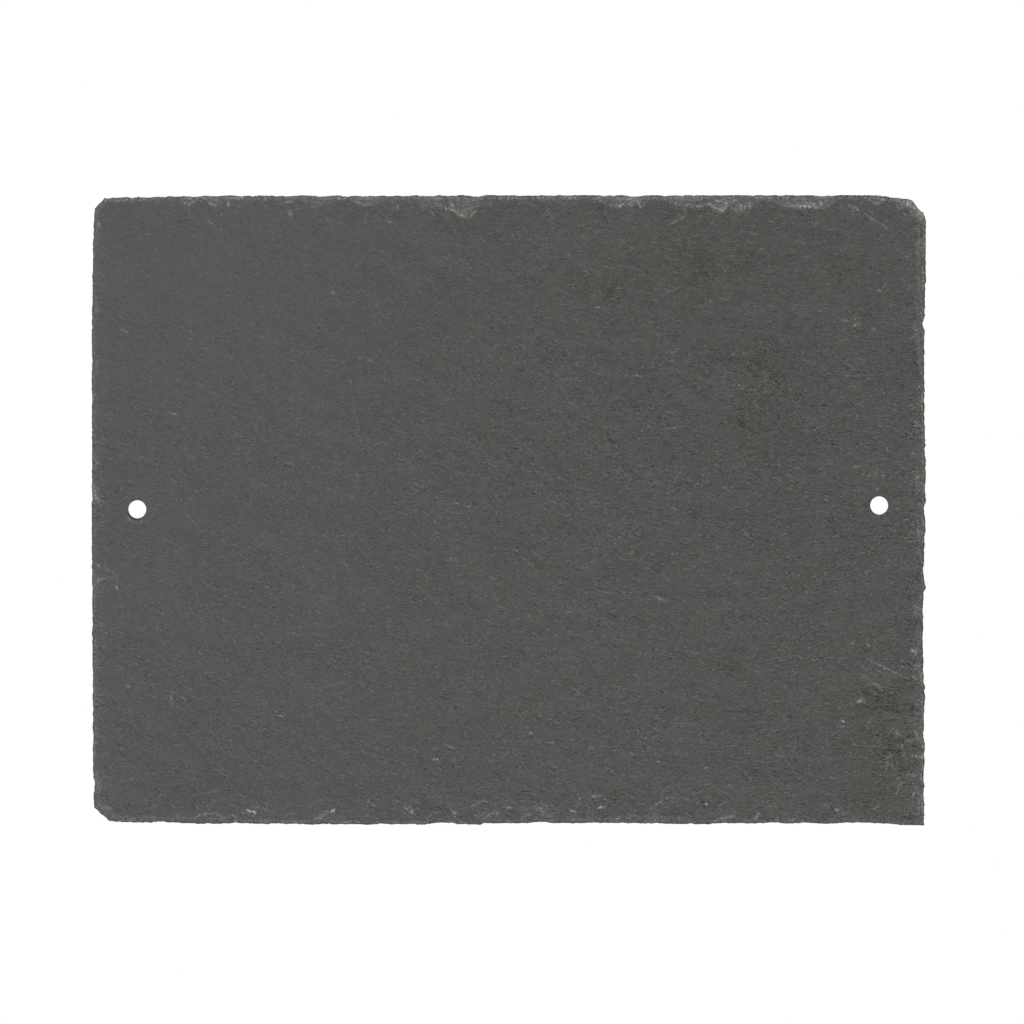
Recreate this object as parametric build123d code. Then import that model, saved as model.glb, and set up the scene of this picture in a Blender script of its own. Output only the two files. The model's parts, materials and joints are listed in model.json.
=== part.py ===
from build123d import *
from dataclasses import dataclass
import math
import os
import random

# A blank house sign: one cleft slab of natural slate with hand-dressed edges and two screw holes.
# It stands upright as it hangs: +Z is up, +X is to the right as it is read, and its face looks
# along -Y. The origin is the middle of the back face, which lies against the wall.
# All lengths are in millimetres.

# Slab
panel_width = 300.0
panel_height = 226.8
panel_thickness = 6.0

# Screw holes, each set in from its own side edge and up from the middle of the slab's height
hole_diameter = 6.5
left_hole_inset = 16.6
left_hole_rise = 0.3
right_hole_inset = 17.1
right_hole_rise = 1.7

# Spall broken out of the face at the lower left of the left hole's rim
spall_width = 6.8
spall_depth = 0.7
spall_drop = 0.95
spall_lean = 0.4

# Width of the dressed bevel between the outline and the flat face, on each side and each corner
top_bevel = 1.4
right_bevel = 2.2
bottom_bevel = 1.9
left_bevel = 0.9
top_right_bevel = 2.9
bottom_right_bevel = 0.8
bottom_left_bevel = 1.8
top_left_bevel = 0.9

# Hand breaking: length of a facet along the edge, raggedness of the outline and nibbling of the
# back edge
facet_length = 2.0
edge_raggedness = 0.16
back_nibble = 0.5
break_seed = 11

# Form of the broken edge, as shares. The slab is widest at its waist, a little in front of the
# back face. A flake scar falls away behind the face by a part of its reach, and no deeper than
# its floor; its foot lies out from its rim.
waist_share = 0.27
waist_spread = 0.4
bevel_spread = 0.4
scar_fall = 0.5
scar_floor_share = 0.58
scar_foot_share = 0.3

# Distance from a corner over which an inset turns from one side's direction to the next
corner_blend = 16.0

# How far a drill passes each face of the slab
drill_overrun = 2.0

# The outline goes clockwise as the sign is read: top, right, bottom, left. Each edge is a list of
# (along, shortfall): along is measured from the side's middle, towards its end, and the shortfall
# is how far the broken edge stays inside the panel's width or height there.
top_edge = [
    (-129.0, 1.0), (-109.0, 0.7), (-91.0, 0.55), (-48.0, 0.7), (-30.0, 0.45), (-22.8, 0.25),
    (-15.6, 0.55), (-10.9, 1.0), (-6.3, 0.2), (4.1, 0.7), (27.5, 0.15), (33.0, 0.45),
    (36.5, 0.2), (45.4, 0.65), (52.6, 0.3), (58.0, 0.55), (67.0, 0.2), (79.5, 0.0),
    (88.5, 0.3), (96.0, 0.15), (113.6, 0.5), (119.7, 0.1), (128.0, 0.25), (133.4, 0.8),
]
right_edge = [
    (-94.0, 0.15), (-83.2, 0.25), (-81.0, 0.6), (-70.0, 0.8), (-66.6, 1.35), (-64.5, 0.7),
    (-51.0, 0.95), (-27.0, 0.75), (-16.0, 0.35), (-4.2, 0.45), (-0.6, 0.85), (7.3, 0.55),
    (13.8, 1.0), (23.5, 1.1), (27.8, 0.45), (29.6, 1.1), (34.2, 1.35), (49.7, 1.35),
    (71.2, 0.75), (80.9, 1.3), (83.5, 0.9), (92.8, 0.9), (95.3, 1.2), (105.5, 0.9),
]
bottom_edge = [
    (-142.4, 0.4), (-140.9, 0.0), (-138.0, 0.55), (-131.6, 1.05), (-95.7, 1.1), (-63.4, 0.8),
    (-34.7, 1.15), (-1.3, 1.2), (14.5, 0.6), (22.8, 1.2), (32.5, 0.6), (58.7, 0.8),
    (74.8, 0.65), (94.6, 1.05), (108.9, 0.9), (123.3, 1.45), (130.5, 1.2),
]
left_edge = [
    (-103.5, 0.95), (-99.2, 1.35), (-95.0, 0.75), (-71.2, 0.8), (-48.6, 0.5), (-34.2, 0.55),
    (-12.7, 0.0), (0.6, 0.2), (22.1, 0.45), (37.6, 0.15), (40.1, 0.45), (49.4, 0.1),
    (53.7, 0.6), (61.6, 0.05), (76.0, 0.55), (94.0, 0.7), (103.2, 1.05),
]

# Each corner is a list of (shortfall from the side before it, shortfall from the side after it)
top_right_corner = [(1.5, 8.4), (1.6, 6.7), (2.4, 4.8), (5.0, 3.1), (6.6, 1.2), (10.0, 0.0)]
bottom_right_corner = [(1.0, 0.15)]
bottom_left_corner = [(1.5, 8.4), (1.95, 6.5), (4.0, 4.1), (4.95, 2.8), (6.45, 1.0)]
top_left_corner = [(1.4, 5.3), (4.9, 1.4)]

# Flake scars struck off each edge, as (along, width, reach in from the outline)
top_scars = [
    (-115.0, 5.0, 3.0), (-105.7, 6.0, 3.6), (-79.1, 4.5, 2.8), (-66.0, 10.8, 2.6),
    (-51.5, 10.8, 3.0), (-28.2, 10.0, 4.0), (-17.0, 10.8, 7.4), (-8.8, 4.3, 2.0),
    (40.8, 15.8, 3.8), (64.5, 14.0, 3.1), (75.6, 8.4, 5.9), (83.5, 8.4, 5.6),
    (105.7, 20.0, 4.4), (132.7, 6.0, 2.4),
]
right_scars = [
    (-75.0, 11.0, 3.4), (-31.1, 6.0, 3.3), (-11.7, 7.0, 3.5), (35.0, 8.0, 3.6),
    (68.0, 14.0, 3.3),
]
bottom_scars = [
    (-89.2, 6.0, 3.2), (-77.0, 9.0, 2.6), (-52.6, 14.0, 3.0), (-11.3, 6.5, 4.8),
    (-5.9, 5.0, 2.6), (7.7, 12.0, 4.8), (20.3, 4.5, 4.0), (35.7, 6.0, 4.0),
    (66.9, 10.8, 3.9), (92.8, 8.0, 2.9), (114.3, 18.0, 3.1),
]
left_scars = [(-98.0, 8.0, 2.8), (-24.5, 9.0, 2.8), (5.3, 6.5, 2.1), (16.4, 3.5, 1.6)]


@dataclass
class Side:
    """One side of the slab and the corners at its ends. Directions and points are (x, z)."""
    out: tuple
    run: tuple
    half_out: float
    half_run: float
    edge: list
    bevel: float
    scars: list
    corner_before: list
    corner_after: list
    corner_bevel: float

    def point(self, along, shortfall):
        """The point at a distance along the side from its middle, short of its nominal line."""
        reach = self.half_out - shortfall
        return tuple(o * reach + r * along for o, r in zip(self.out, self.run))

    def chosen(self):
        """The points that the edge runs through, as (along, shortfall), corner to corner."""
        start_short, start_shortfall = self.corner_before[-1]
        end_shortfall, end_short = self.corner_after[0]
        start = (start_short - self.half_run, start_shortfall)
        end = (self.half_run - end_short, end_shortfall)
        first = start[0] + facet_length
        last = end[0] - facet_length
        return [start] + [point for point in self.edge if first < point[0] < last] + [end]

    def bevel_at(self, along, spread):
        """Width of the bevel there: the dressed width, or the arc of a scar where it is wider."""
        width = self.bevel * spread
        for middle, scar_width, reach in self.scars:
            across = 2 * (along - middle) / scar_width
            if abs(across) < 1:
                width = max(width, reach * math.sqrt(1 - across**2))
        return width


def slab_sides():
    """The four sides, clockwise as the sign is read."""
    half_w = panel_width / 2
    half_h = panel_height / 2
    return [
        Side((0, 1), (1, 0), half_h, half_w, top_edge, top_bevel, top_scars,
             top_left_corner, top_right_corner, top_right_bevel),
        Side((1, 0), (0, -1), half_w, half_h, right_edge, right_bevel, right_scars,
             top_right_corner, bottom_right_corner, bottom_right_bevel),
        Side((0, -1), (-1, 0), half_h, half_w, bottom_edge, bottom_bevel, bottom_scars,
             bottom_right_corner, bottom_left_corner, bottom_left_bevel),
        Side((-1, 0), (0, 1), half_w, half_h, left_edge, left_bevel, left_scars,
             bottom_left_corner, top_left_corner, top_left_bevel),
    ]


def around(spread, dice):
    """A factor that lies within the spread of 1."""
    return dice.uniform(1 - spread, 1 + spread)


def edge_stations(side, dice):
    """Stations along one side between its corners, as (point, bevel), one facet length apart."""
    stations = []
    chosen = side.chosen()
    for (start, start_short), (end, end_short) in zip(chosen, chosen[1:]):
        steps = max(1, round((end - start) / facet_length))
        for step in range(1, steps + 1):
            t = step / steps
            along = start + (end - start) * t
            shortfall = start_short + (end_short - start_short) * t
            if step < steps:
                shortfall += dice.uniform(-edge_raggedness, edge_raggedness)
            bevel = side.bevel_at(along, around(bevel_spread, dice))
            stations.append((side.point(along, max(shortfall, 0)), bevel))
    return stations[:-1]


def corner_stations(side, dice):
    """Stations round the corner at the end of a side, as (point, bevel)."""
    stations = []
    for shortfall, next_shortfall in side.corner_after:
        point = side.point(side.half_run - next_shortfall, shortfall)
        stations.append((point, side.corner_bevel * around(bevel_spread, dice)))
    return stations


def inset_point(point, inset):
    """A point of the outline moved in: square to its side, and both ways near a corner."""
    moved = []
    for value, half in zip(point, (panel_width / 2, panel_height / 2)):
        nearness = 1 - (half - abs(value)) / corner_blend
        pull = min(max(nearness, 0), 1)
        moved.append(value - math.copysign(pull * inset, value))
    return moved


def edge_rings(stations, dice):
    """Closed rings of points from the edge of the back round to the edge of the face."""
    back_ring = []
    waist_ring = []
    scar_ring = []
    face_ring = []
    for point, bevel in stations:
        nibble = back_nibble * dice.random()
        waist = panel_thickness * waist_share * around(waist_spread, dice)
        fall = min(bevel * scar_fall, panel_thickness * scar_floor_share)
        back_ring.append((inset_point(point, nibble), 0))
        waist_ring.append((point, waist))
        scar_ring.append((inset_point(point, bevel * scar_foot_share), panel_thickness - fall))
        face_ring.append((inset_point(point, bevel), panel_thickness))
    return [
        [Vector(x, -depth, z) for (x, z), depth in ring]
        for ring in (back_ring, waist_ring, scar_ring, face_ring)
    ]


def facet(*corners):
    """A flat face with these corners."""
    return Face(Wire.make_polygon(corners, close=True))


def facets_between(back, front, dice):
    """The triangles between two rings, each four-sided patch split one way or the other."""
    faces = []
    for i in range(len(back)):
        a, b, c, d = back[i - 1], back[i], front[i], front[i - 1]
        if dice.random() < 0.5:
            faces += [facet(a, b, c), facet(a, c, d)]
        else:
            faces += [facet(a, b, d), facet(b, c, d)]
    return faces


def dressed_slab():
    """The slab before drilling: a flat face and back joined by broken, flaked edges."""
    dice = random.Random(break_seed)
    stations = []
    for side in slab_sides():
        stations += edge_stations(side, dice)
        stations += corner_stations(side, dice)
    rings = edge_rings(stations, dice)
    faces = [facet(*rings[0]), facet(*rings[-1])]
    for back, front in zip(rings, rings[1:]):
        faces += facets_between(back, front, dice)
    return Solid(Shell(faces))


def screw_hole(x, z):
    """The drill's path through the slab."""
    length = panel_thickness + 2 * drill_overrun
    return Pos(x, -panel_thickness / 2, z) * Rot(90, 0, 0) * Cylinder(hole_diameter / 2, length)


def spall(hole_x, hole_z):
    """The shallow dish that broke away beside a hole's rim."""
    radius = ((spall_width / 2) ** 2 + spall_depth**2) / (2 * spall_depth)
    centre_y = spall_depth - panel_thickness - radius
    return Pos(hole_x - spall_lean, centre_y, hole_z - spall_drop) * Sphere(radius)


def slate_panel():
    """The finished slab with its two screw holes."""
    left_x = left_hole_inset - panel_width / 2
    right_x = panel_width / 2 - right_hole_inset
    slab = dressed_slab()
    slab -= screw_hole(left_x, left_hole_rise)
    slab -= screw_hole(right_x, right_hole_rise)
    slab -= spall(left_x, left_hole_rise)
    return slab


os.makedirs("parts", exist_ok=True)
export_step(slate_panel(), "parts/slate_panel.step")
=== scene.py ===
import bpy
import json
import math
import numpy as np
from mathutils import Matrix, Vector
from mathutils.bvhtree import BVHTree
from mathutils.geometry import delaunay_2d_cdt
from mathutils.kdtree import KDTree


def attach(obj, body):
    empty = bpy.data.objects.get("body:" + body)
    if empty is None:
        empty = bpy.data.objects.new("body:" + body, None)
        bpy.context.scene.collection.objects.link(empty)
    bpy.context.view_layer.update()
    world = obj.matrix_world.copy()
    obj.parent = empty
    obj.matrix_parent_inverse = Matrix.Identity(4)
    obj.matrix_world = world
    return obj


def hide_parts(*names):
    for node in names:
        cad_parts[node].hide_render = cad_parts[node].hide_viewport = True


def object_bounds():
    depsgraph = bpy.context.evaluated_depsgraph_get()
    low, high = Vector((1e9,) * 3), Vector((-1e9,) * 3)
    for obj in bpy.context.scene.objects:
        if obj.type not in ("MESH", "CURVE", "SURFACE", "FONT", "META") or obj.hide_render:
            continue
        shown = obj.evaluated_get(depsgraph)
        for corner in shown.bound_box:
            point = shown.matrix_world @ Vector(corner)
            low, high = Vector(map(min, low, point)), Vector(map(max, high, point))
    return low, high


# A blank slate house sign. Its broken edges, cleft faces and stone are made around the packed
# slab. Lengths are in millimetres, except where a name or a comment says metres.

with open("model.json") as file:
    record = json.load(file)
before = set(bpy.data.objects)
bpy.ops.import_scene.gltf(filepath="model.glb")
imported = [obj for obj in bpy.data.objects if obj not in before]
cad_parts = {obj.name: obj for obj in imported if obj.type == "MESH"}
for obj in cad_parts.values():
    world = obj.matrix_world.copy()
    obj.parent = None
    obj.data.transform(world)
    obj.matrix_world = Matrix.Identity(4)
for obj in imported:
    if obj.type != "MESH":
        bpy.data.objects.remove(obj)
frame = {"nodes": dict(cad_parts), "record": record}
cad_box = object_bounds()

NODE = "slate_panel"
MM = 0.001

# The picture: its size, where the slab's nominal rectangle lies in it in pixels, and the length
# of a pixel on the slab
PICTURE_PX = 1024
SLAB_LEFT_PX = 90.6
SLAB_RIGHT_PX = 926.3
SLAB_CENTRE_PX = ((SLAB_LEFT_PX + SLAB_RIGHT_PX) / 2, 509.65)
PIXEL = (cad_box[1][0] - cad_box[0][0]) / MM / (SLAB_RIGHT_PX - SLAB_LEFT_PX)

# Mesh spacing: along the broken edge, and over the faces, whose points lie on one triangular
# lattice. A face takes every point of it close to a mark, every sixth elsewhere on the front and
# every eighth on the back, and twice as many within the fine margin of the edge mesh. Further in
# from the slab's sides than the uneven margin no point can lie past the edge mesh, and beside it
# points keep the clearance.
STATION_GAP = 0.4
LATTICE_GAP = 0.38
LATTICE_RISE = LATTICE_GAP * math.sqrt(3) / 2
FRONT_STEP = 6
BACK_STEP = 8
FINE_MARGIN = 2.5
UNEVEN_MARGIN = 14.0
EDGE_CLEARANCE = 0.3

# The points of a mark's line are this close, and its lightness fades out within so many half widths
PATH_GAP = 0.15
MARK_REACH = 2.2

# The slab's corners lie on four rings, found by their depth behind the back face's plane as a
# share of the thickness: the back's edge, the waist, the foot of the scars and the face's edge
RING_DEPTHS = [(-0.01, 0.01), (0.1, 0.4), (0.4, 0.99), (0.999, 1.01)]
BACK_RING, WAIST_RING, FOOT_RING, FACE_RING = range(4)

# The edge's section has six knots: the back strip's inner end, a corner of each ring, and the face
# strip's inner end. The strips are the parts of the faces that belong to the edge mesh, and the
# rows of mesh cross back strip, back to waist, waist to foot, scar and face strip. The verge is as
# far in from the outline as its bruised rim may reach. The outline is drawn this much proud of the
# slab's, so that the nibbles bring it back, and they fade out over their reach.
BACK_STRIP = 1.5
FACE_STRIP = 1.5
ROWS = [1, 3, 10, 8, 2]
VERGE = 4.0
PROUD = 0.48
NIBBLE_REACH = 1.4

# What the finish knows of the edge: each fact's values at places along the section, in knots
EDGE_FACTS = {
    "broken": ([0, 1, 2, 3, 3.6, 4, 5], [0, 1, 0.2, 1, 1, 0.5, 0]),
    "wall": ([1.2, 2, 2.75, 3], [0, 1, 1, 0]),
    "nibbled": ([1, 2], [0, 1]),
    "scar": ([2.5, 3, 4, 4.4], [0, 1, 1, 0]),
    "rim": ([3.4, 4, 4.5], [0, 1, 0]),
    "facing": ([0, 1, 2, 3, 4, 5], [-1, -1, 0, 0, 1, 1]),
}

# The named inputs of the rule by which the slab breaks. For the broken edge: thickness of the
# stone's thin layers, how far one breaks back behind the next, the same for the thicker plies that
# show on its walls, how clearly a scar is stepped, the depth of its grit, and that of the nibbles
# along the outline. For the cleft faces: depth of their swell, of the riven grain, and of the thin
# layers that end near an edge.
BREAKING = {
    "Layer": 0.42, "Layer Break": 0.4, "Ply": 0.85, "Ply Break": 0.4, "Stepping": 0.75, "Grit": 0.1,
    "Nibble": 0.48, "Swell": 0.12, "Riven": 0.035, "Thin Layer": 0.06, "Seed": 4.0,
}

# The rule's own patterns: (size, detail, roughness)
BREAK_PATTERNS = {
    "waves": (28.0, 2.0, 0.5),
    "layer edge": (3.2, 3.0, 0.5),
    "ply edge": (5.0, 3.0, 0.5),
    "grit": (0.9, 2.0, 0.5),
    "nibbles": (0.8, 2.0, 0.6),
    "swell": (55.0, 1.0, 0.5),
    "grain": (2.6, 2.0, 0.5),
    "sheets": (34.0, 3.0, 0.55),
}

# How high the bedding waves, what each layer and ply adds to the seed so that no two break alike,
# the slope in degrees and the length of the riven grain, and how many thin layers end on a face and
# how steeply
WAVE_HEIGHT = 2.0
LAYER_SEED = 7.31
PLY_SEED = 3.7
FIRST_PLY_SEED = 50.0
SHEET_SEED = 3.0
GRAIN_SLOPE = 24.0
GRAIN_LENGTH = 3.0
SHEETS = 9.0
SHEET_END = 0.06

# Screw holes: points round the rim, rows down the wall, and distances of the rings of points round
# the wall. The front's depth at the rim is read a hair outside the wall, and a hole's spall lies
# within so many radii of its middle.
HOLE_POINTS = 56
HOLE_ROWS = 7
HOLE_RINGS = [0.3, 0.7, 1.15, 1.7, 2.4, 3.3]
HAIR = 0.02
SPALL_ZONE = 2.5


# Marks read off the picture, in its pixels: (start x, y, end x, y, bow to the right of its run,
# half width, strength), where strength is how much lighter than the stone a mark is. The crushed
# rims of the scars along the top edge come first, then those of the bottom edge, from left to
# right, then the sides, and last the marks on the face. Along the edges the marks are partly
# lighter crushed stone and partly painted glints, where the broken edges catch the light; some
# with a negative strength are painted shadows beside the chips and painted shade in a hole's spall.
TOP_MARKS = [
    (184, 197.5, 193, 197.5, 0, 0.9, 1.1), (181, 200, 194, 201, 3, 1.1, 0.8),
    (203, 197, 208, 198, 0, 0.8, 0.9), (209, 202, 213, 204, 0, 1.0, 0.9),
    (217, 208, 218, 210, 0, 0.9, 0.8), (221, 213, 222, 215, 0, 0.9, 0.6),
    (208, 221, 212, 223, 0, 1.0, 0.9), (228, 202, 228, 205, 0, 1.1, 2.0),
    (281, 203, 293, 200, 0, 1.0, 0.8), (289, 211, 291, 216, 0, 1.4, 1.1),
    (312, 206, 321, 204, 1, 0.9, 0.6), (299, 199, 322, 201, 2, 1.0, 0.4),
    (352, 200, 382, 201, 3, 1.0, 0.5), (397, 205, 398, 208, 0, 1.0, 1.1),
    (386, 220, 390, 222, 0, 1.0, 1.0), (367, 214, 364, 223, 0, 0.8, 0.5),
    (419, 201, 424, 209, 0, 0.9, 0.6), (430, 210, 433, 215, 0, 0.8, 0.6),
    (436, 203, 446, 207, 1, 1.0, 0.7), (450, 202, 453, 206, 0, 1.0, 1.8),
    (445, 208.5, 454, 209.5, 0, 1.1, 1.4), (455, 211, 461, 215, 0, 1.0, 1.1),
    (459, 214.5, 475, 211, 4, 1.1, 1.1), (475, 210, 477, 202, 1, 1.0, 0.9),
    (462, 209, 472, 207, 1, 0.9, 0.8), (462, 201, 470, 203, 0, 1.1, 0.6),
    (477, 204, 490, 202, 2, 1.0, 0.5), (519, 202, 527, 203, 0, 0.9, 0.9),
    (529, 203, 534, 205, 0, 0.8, 0.7), (546, 209, 549, 214, 0, 0.8, 0.5),
    (549, 220, 554, 217, 0, 0.8, 0.6), (553, 199, 566, 203, 1, 1.0, 0.5),
    (600, 200, 620, 206, 2, 1.1, 0.7), (618, 206, 623, 203, 0, 1.0, 1.5),
    (627, 203, 632, 206, 0, 1.0, 1.0), (638, 201, 640, 207, 0, 1.0, 1.0),
    (626, 198, 640, 200, 1, 1.2, 0.6), (643, 206, 653, 197, -3, 0.9, 0.5),
    (664, 198, 685, 204, 2, 1.2, 0.8), (686, 205, 710, 203, 2, 1.2, 1.2),
    (676, 199, 700, 199, 0, 1.2, 0.6), (671, 223, 685, 216, 0, 0.8, 1.2),
    (683, 206, 685, 214, 0, 0.8, 0.5), (710, 204, 723, 210, 1, 1.3, 1.3),
    (721, 209, 735, 199, 0, 1.2, 1.2), (716, 200, 726, 202, 0, 1.5, 1.5),
    (731, 207, 738, 210, 0, 0.9, 0.9), (740, 204, 741, 209, 0, 0.8, 1.4),
    (745, 203, 744, 208, 0, 0.8, 1.0), (749, 202, 750, 208, 0, 1.0, 1.2),
    (733, 210, 749, 211, 2, 0.8, 0.4), (755, 200, 760, 205, 0, 0.8, 0.8),
    (758, 199, 775, 199, 0, 1.0, 0.5), (775, 201, 797, 205, 2, 1.2, 0.9),
    (797, 205.5, 809, 205.5, 0, 1.1, 2.6), (809, 206, 828, 205, 2, 1.0, 1.1),
    (813, 203, 815, 206, 0, 0.9, 1.4), (820, 202, 822, 206, 0, 1.0, 1.6),
    (806, 201, 814, 204, 0, 1.0, 0.8), (826, 200, 834, 203, 0, 1.0, 1.0),
    (848, 205, 857, 209, 0, 1.0, 1.3), (857, 209, 886, 227, 0, 0.8, 0.5),
    (870, 217, 873, 219, 0, 0.9, 1.0), (866, 212, 872, 212, -3, 0.7, 0.4),
    (866, 213, 872, 213, 3, 0.7, 0.4), (867, 198, 877, 203, 1, 1.3, 0.8),
    (876, 204, 885, 199, 0, 1.2, 0.8), (803.5, 243, 804.5, 243.5, 0, 0.9, 1.6),
]
BOTTOM_MARKS = [
    (97, 803, 105, 807, -1, 1.8, 0.4), (104, 806, 112, 813, 0, 1.6, 0.35),
    (108, 806, 111, 808, 0, 1.0, 0.9), (112, 817, 128, 817, 0, 1.2, 0.5),
    (206, 794, 222, 791, -2, 0.7, 0.4), (214, 800, 208, 809, 0, 0.9, 0.6),
    (128, 819, 160, 818, -1, 1.0, 0.5), (165, 819, 196, 819, -1, 1.0, 0.5),
    (197, 817, 206, 814, -2, 1.4, 0.8), (206, 813, 222, 815, -1, 1.2, 0.7),
    (222, 818, 236, 816, -1, 1.2, 0.7), (208, 818, 224, 820, 0, 0.8, 0.5),
    (244, 813, 247, 810, 0, 0.9, 1.3), (247, 810, 255, 812, 0, 1.0, 3.4),
    (250, 807, 266, 808, -1, 0.8, 0.6), (245, 820, 296, 820, 0, 0.9, 0.5),
    (285, 815, 296, 813, -1, 0.8, 0.6), (300, 821, 318, 820, 0, 0.9, 0.6),
    (317, 818, 327, 812, 0, 1.8, 0.9), (316, 818, 321, 818, 0, 0.9, 1.5),
    (331, 811, 334, 809, 0, 1.0, 3.0), (329, 816, 334, 813, 0, 0.8, 0.9),
    (337, 817, 345, 818, -1, 0.8, 0.6), (343, 822, 351, 822, 0, 0.8, 1.8),
    (310, 805, 322, 799, -1, 0.7, 0.4), (367, 802, 370, 799, 0, 0.8, 0.8),
    (373, 804, 375, 806, 0, 0.9, 1.1), (362, 818, 369, 814, 0, 0.8, 0.7),
    (403, 807, 411, 809, 0, 1.0, 1.0), (404, 811, 409, 806, 0, 0.8, 1.0),
    (411, 811, 413, 812, 0, 1.0, 1.7), (427, 819, 439, 812, -3, 0.9, 0.7),
    (425, 798, 441, 797, -2, 0.8, 0.5), (451, 810, 455, 813, 0, 1.0, 1.7),
    (470, 807, 477, 804, -1, 0.8, 0.8), (477, 804, 487, 801, -2, 0.8, 0.8),
    (483, 820, 500, 812, -2, 1.0, 0.8), (503, 807, 511, 807, 0, 0.8, 1.2),
    (495, 804, 512, 801, -2, 0.7, 0.4), (520, 807, 526, 809, -1, 0.9, 0.9),
    (521, 821, 530, 814, -2, 1.2, 0.9), (534, 807, 546, 806, -4, 0.8, 0.6),
    (536, 809, 543, 812, -2, 1.4, 0.7), (541, 806, 542, 818, 0, 0.8, 0.6),
    (545, 818, 552, 816, -1, 0.9, 0.6), (569, 810, 575, 811, 0, 1.0, 1.8),
    (588, 809, 589, 810, 0, 0.8, 0.8), (592, 810, 593, 812, 0, 0.8, 0.7),
    (598, 807, 604, 806, 0, 1.0, 2.4), (580, 797, 580, 803, 2, 0.8, 0.9),
    (592, 796, 601, 796, -1, 0.8, 1.0), (593, 795, 597, 800, 0, 0.7, 0.7),
    (560, 820, 600, 819, 0, 0.9, 0.5), (604, 819, 620, 818, 0, 0.9, 0.6),
    (615, 821, 626, 816, -2, 1.0, 0.8), (626, 820, 635, 815, -1, 1.0, 0.9),
    (636, 820, 645, 816, -1, 1.0, 0.8), (645, 821, 657, 817, -1, 1.0, 0.8),
    (658, 818, 690, 819, 0, 0.9, 0.5), (650, 808, 653, 806, 0, 0.9, 0.7),
    (655, 806, 673, 797, -3, 0.8, 0.8), (673, 797, 692, 800, -1, 0.8, 0.5),
    (705, 803, 706.5, 803.5, 0, 1.1, 2.0), (715, 821, 734, 816, -1, 1.4, 1.1),
    (755, 818, 759, 812, 0, 1.4, 1.2), (747, 821, 756, 819, 0, 0.9, 0.8),
    (788, 821, 796, 818, 0, 0.9, 0.7), (820, 805, 832, 805, -1, 0.8, 0.7),
    (835, 809, 837, 810, 0, 1.0, 1.5), (838, 814, 848, 812, -1, 1.0, 0.7),
    (873, 809, 878, 805, 0, 0.9, 0.8), (896, 793, 900, 782, 0, 0.9, 0.9),
    (911, 796, 914, 791, 0, 0.9, 1.5), (900, 822, 922, 822, 0, 1.2, 0.3),
    # Painted shadows: these darker marks lie beside the bright glints above and paint the shade of
    # the chips
    (245, 813.5, 251, 814.5, 0, 0.8, -0.5), (255.5, 811, 258, 815, 0, 0.8, -0.4),
    (328, 813.7, 333, 813.7, 0, 0.8, -0.7), (334.8, 808, 335.5, 812, 0, 0.6, -0.4),
    (449, 811.5, 453, 815, 0, 0.8, -0.6), (403, 809, 408, 811.5, 0, 0.7, -0.5),
    (702.8, 801.5, 704, 806, 0, 0.8, -0.6), (708.2, 801, 708.6, 805, 0, 0.7, -0.4),
    (831.5, 806.5, 834, 812, 0, 0.8, -0.5), (593, 798.4, 599, 797.6, 0, 0.6, -0.4),
]
SIDE_MARKS = [
    (95, 460, 97, 463, 0, 1.0, 1.7), (94, 464, 95, 467, 0, 0.9, 1.5),
    (93, 485, 95, 497, 0, 1.4, 1.6), (97, 497, 99, 503, 0, 0.9, 1.2),
    (97, 564, 99, 565, 0, 1.1, 1.6), (98, 568, 110, 571, -2, 0.9, 0.5),
    (110, 570, 116, 586, -3, 0.9, 0.4), (97, 580, 104, 578, 0, 1.1, 0.9),
    (116, 586, 117, 589, 0, 1.1, 1.2), (170, 413, 176, 414, 0, 0.9, 0.9),
    # Painted shade: the first of these two is a dark crescent inside the left hole's spall
    (127.9, 511, 139.5, 518.8, 3.4, 0.9, -1.2), (127.2, 515.5, 141, 521, 3, 0.8, 1.1),
    (97, 221, 99, 226, 0, 1.2, 1.0), (95, 300, 97, 318, 0, 1.2, 0.4),
    (96, 360, 97, 372, 0, 1.0, 0.5),
    (96, 770, 100, 800, 0, 1.6, 0.4), (95, 640, 97, 668, 0, 1.1, 0.4),
    (914, 421, 922, 425, 0, 1.0, 0.8), (915, 478, 921, 475, 0, 1.0, 0.9),
    (914, 605, 921, 609, 0, 1.1, 0.8), (912, 650, 917, 652, 0, 1.5, 1.5),
    (913, 676, 915, 678, 0, 1.1, 1.6), (918, 662, 922, 685, 0, 1.0, 0.9),
    (915, 730, 917, 738, 0, 1.3, 0.9), (912, 755, 922, 757, 0, 1.2, 1.2),
    (918, 790, 919, 812, 0, 1.3, 0.4), (916, 240, 920, 300, 0, 1.2, 0.4),
    (896, 199, 909, 204, 1, 2.0, 1.0), (907, 203, 923, 216, -1, 2.1, 1.2),
    (911, 210, 923, 222, -1, 1.6, 0.55), (917, 226, 922, 250, 0, 1.4, 0.5),
    (917, 330, 921, 372, 0, 1.2, 0.5), (917, 520, 920, 560, 0, 1.3, 0.4),
]
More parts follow.
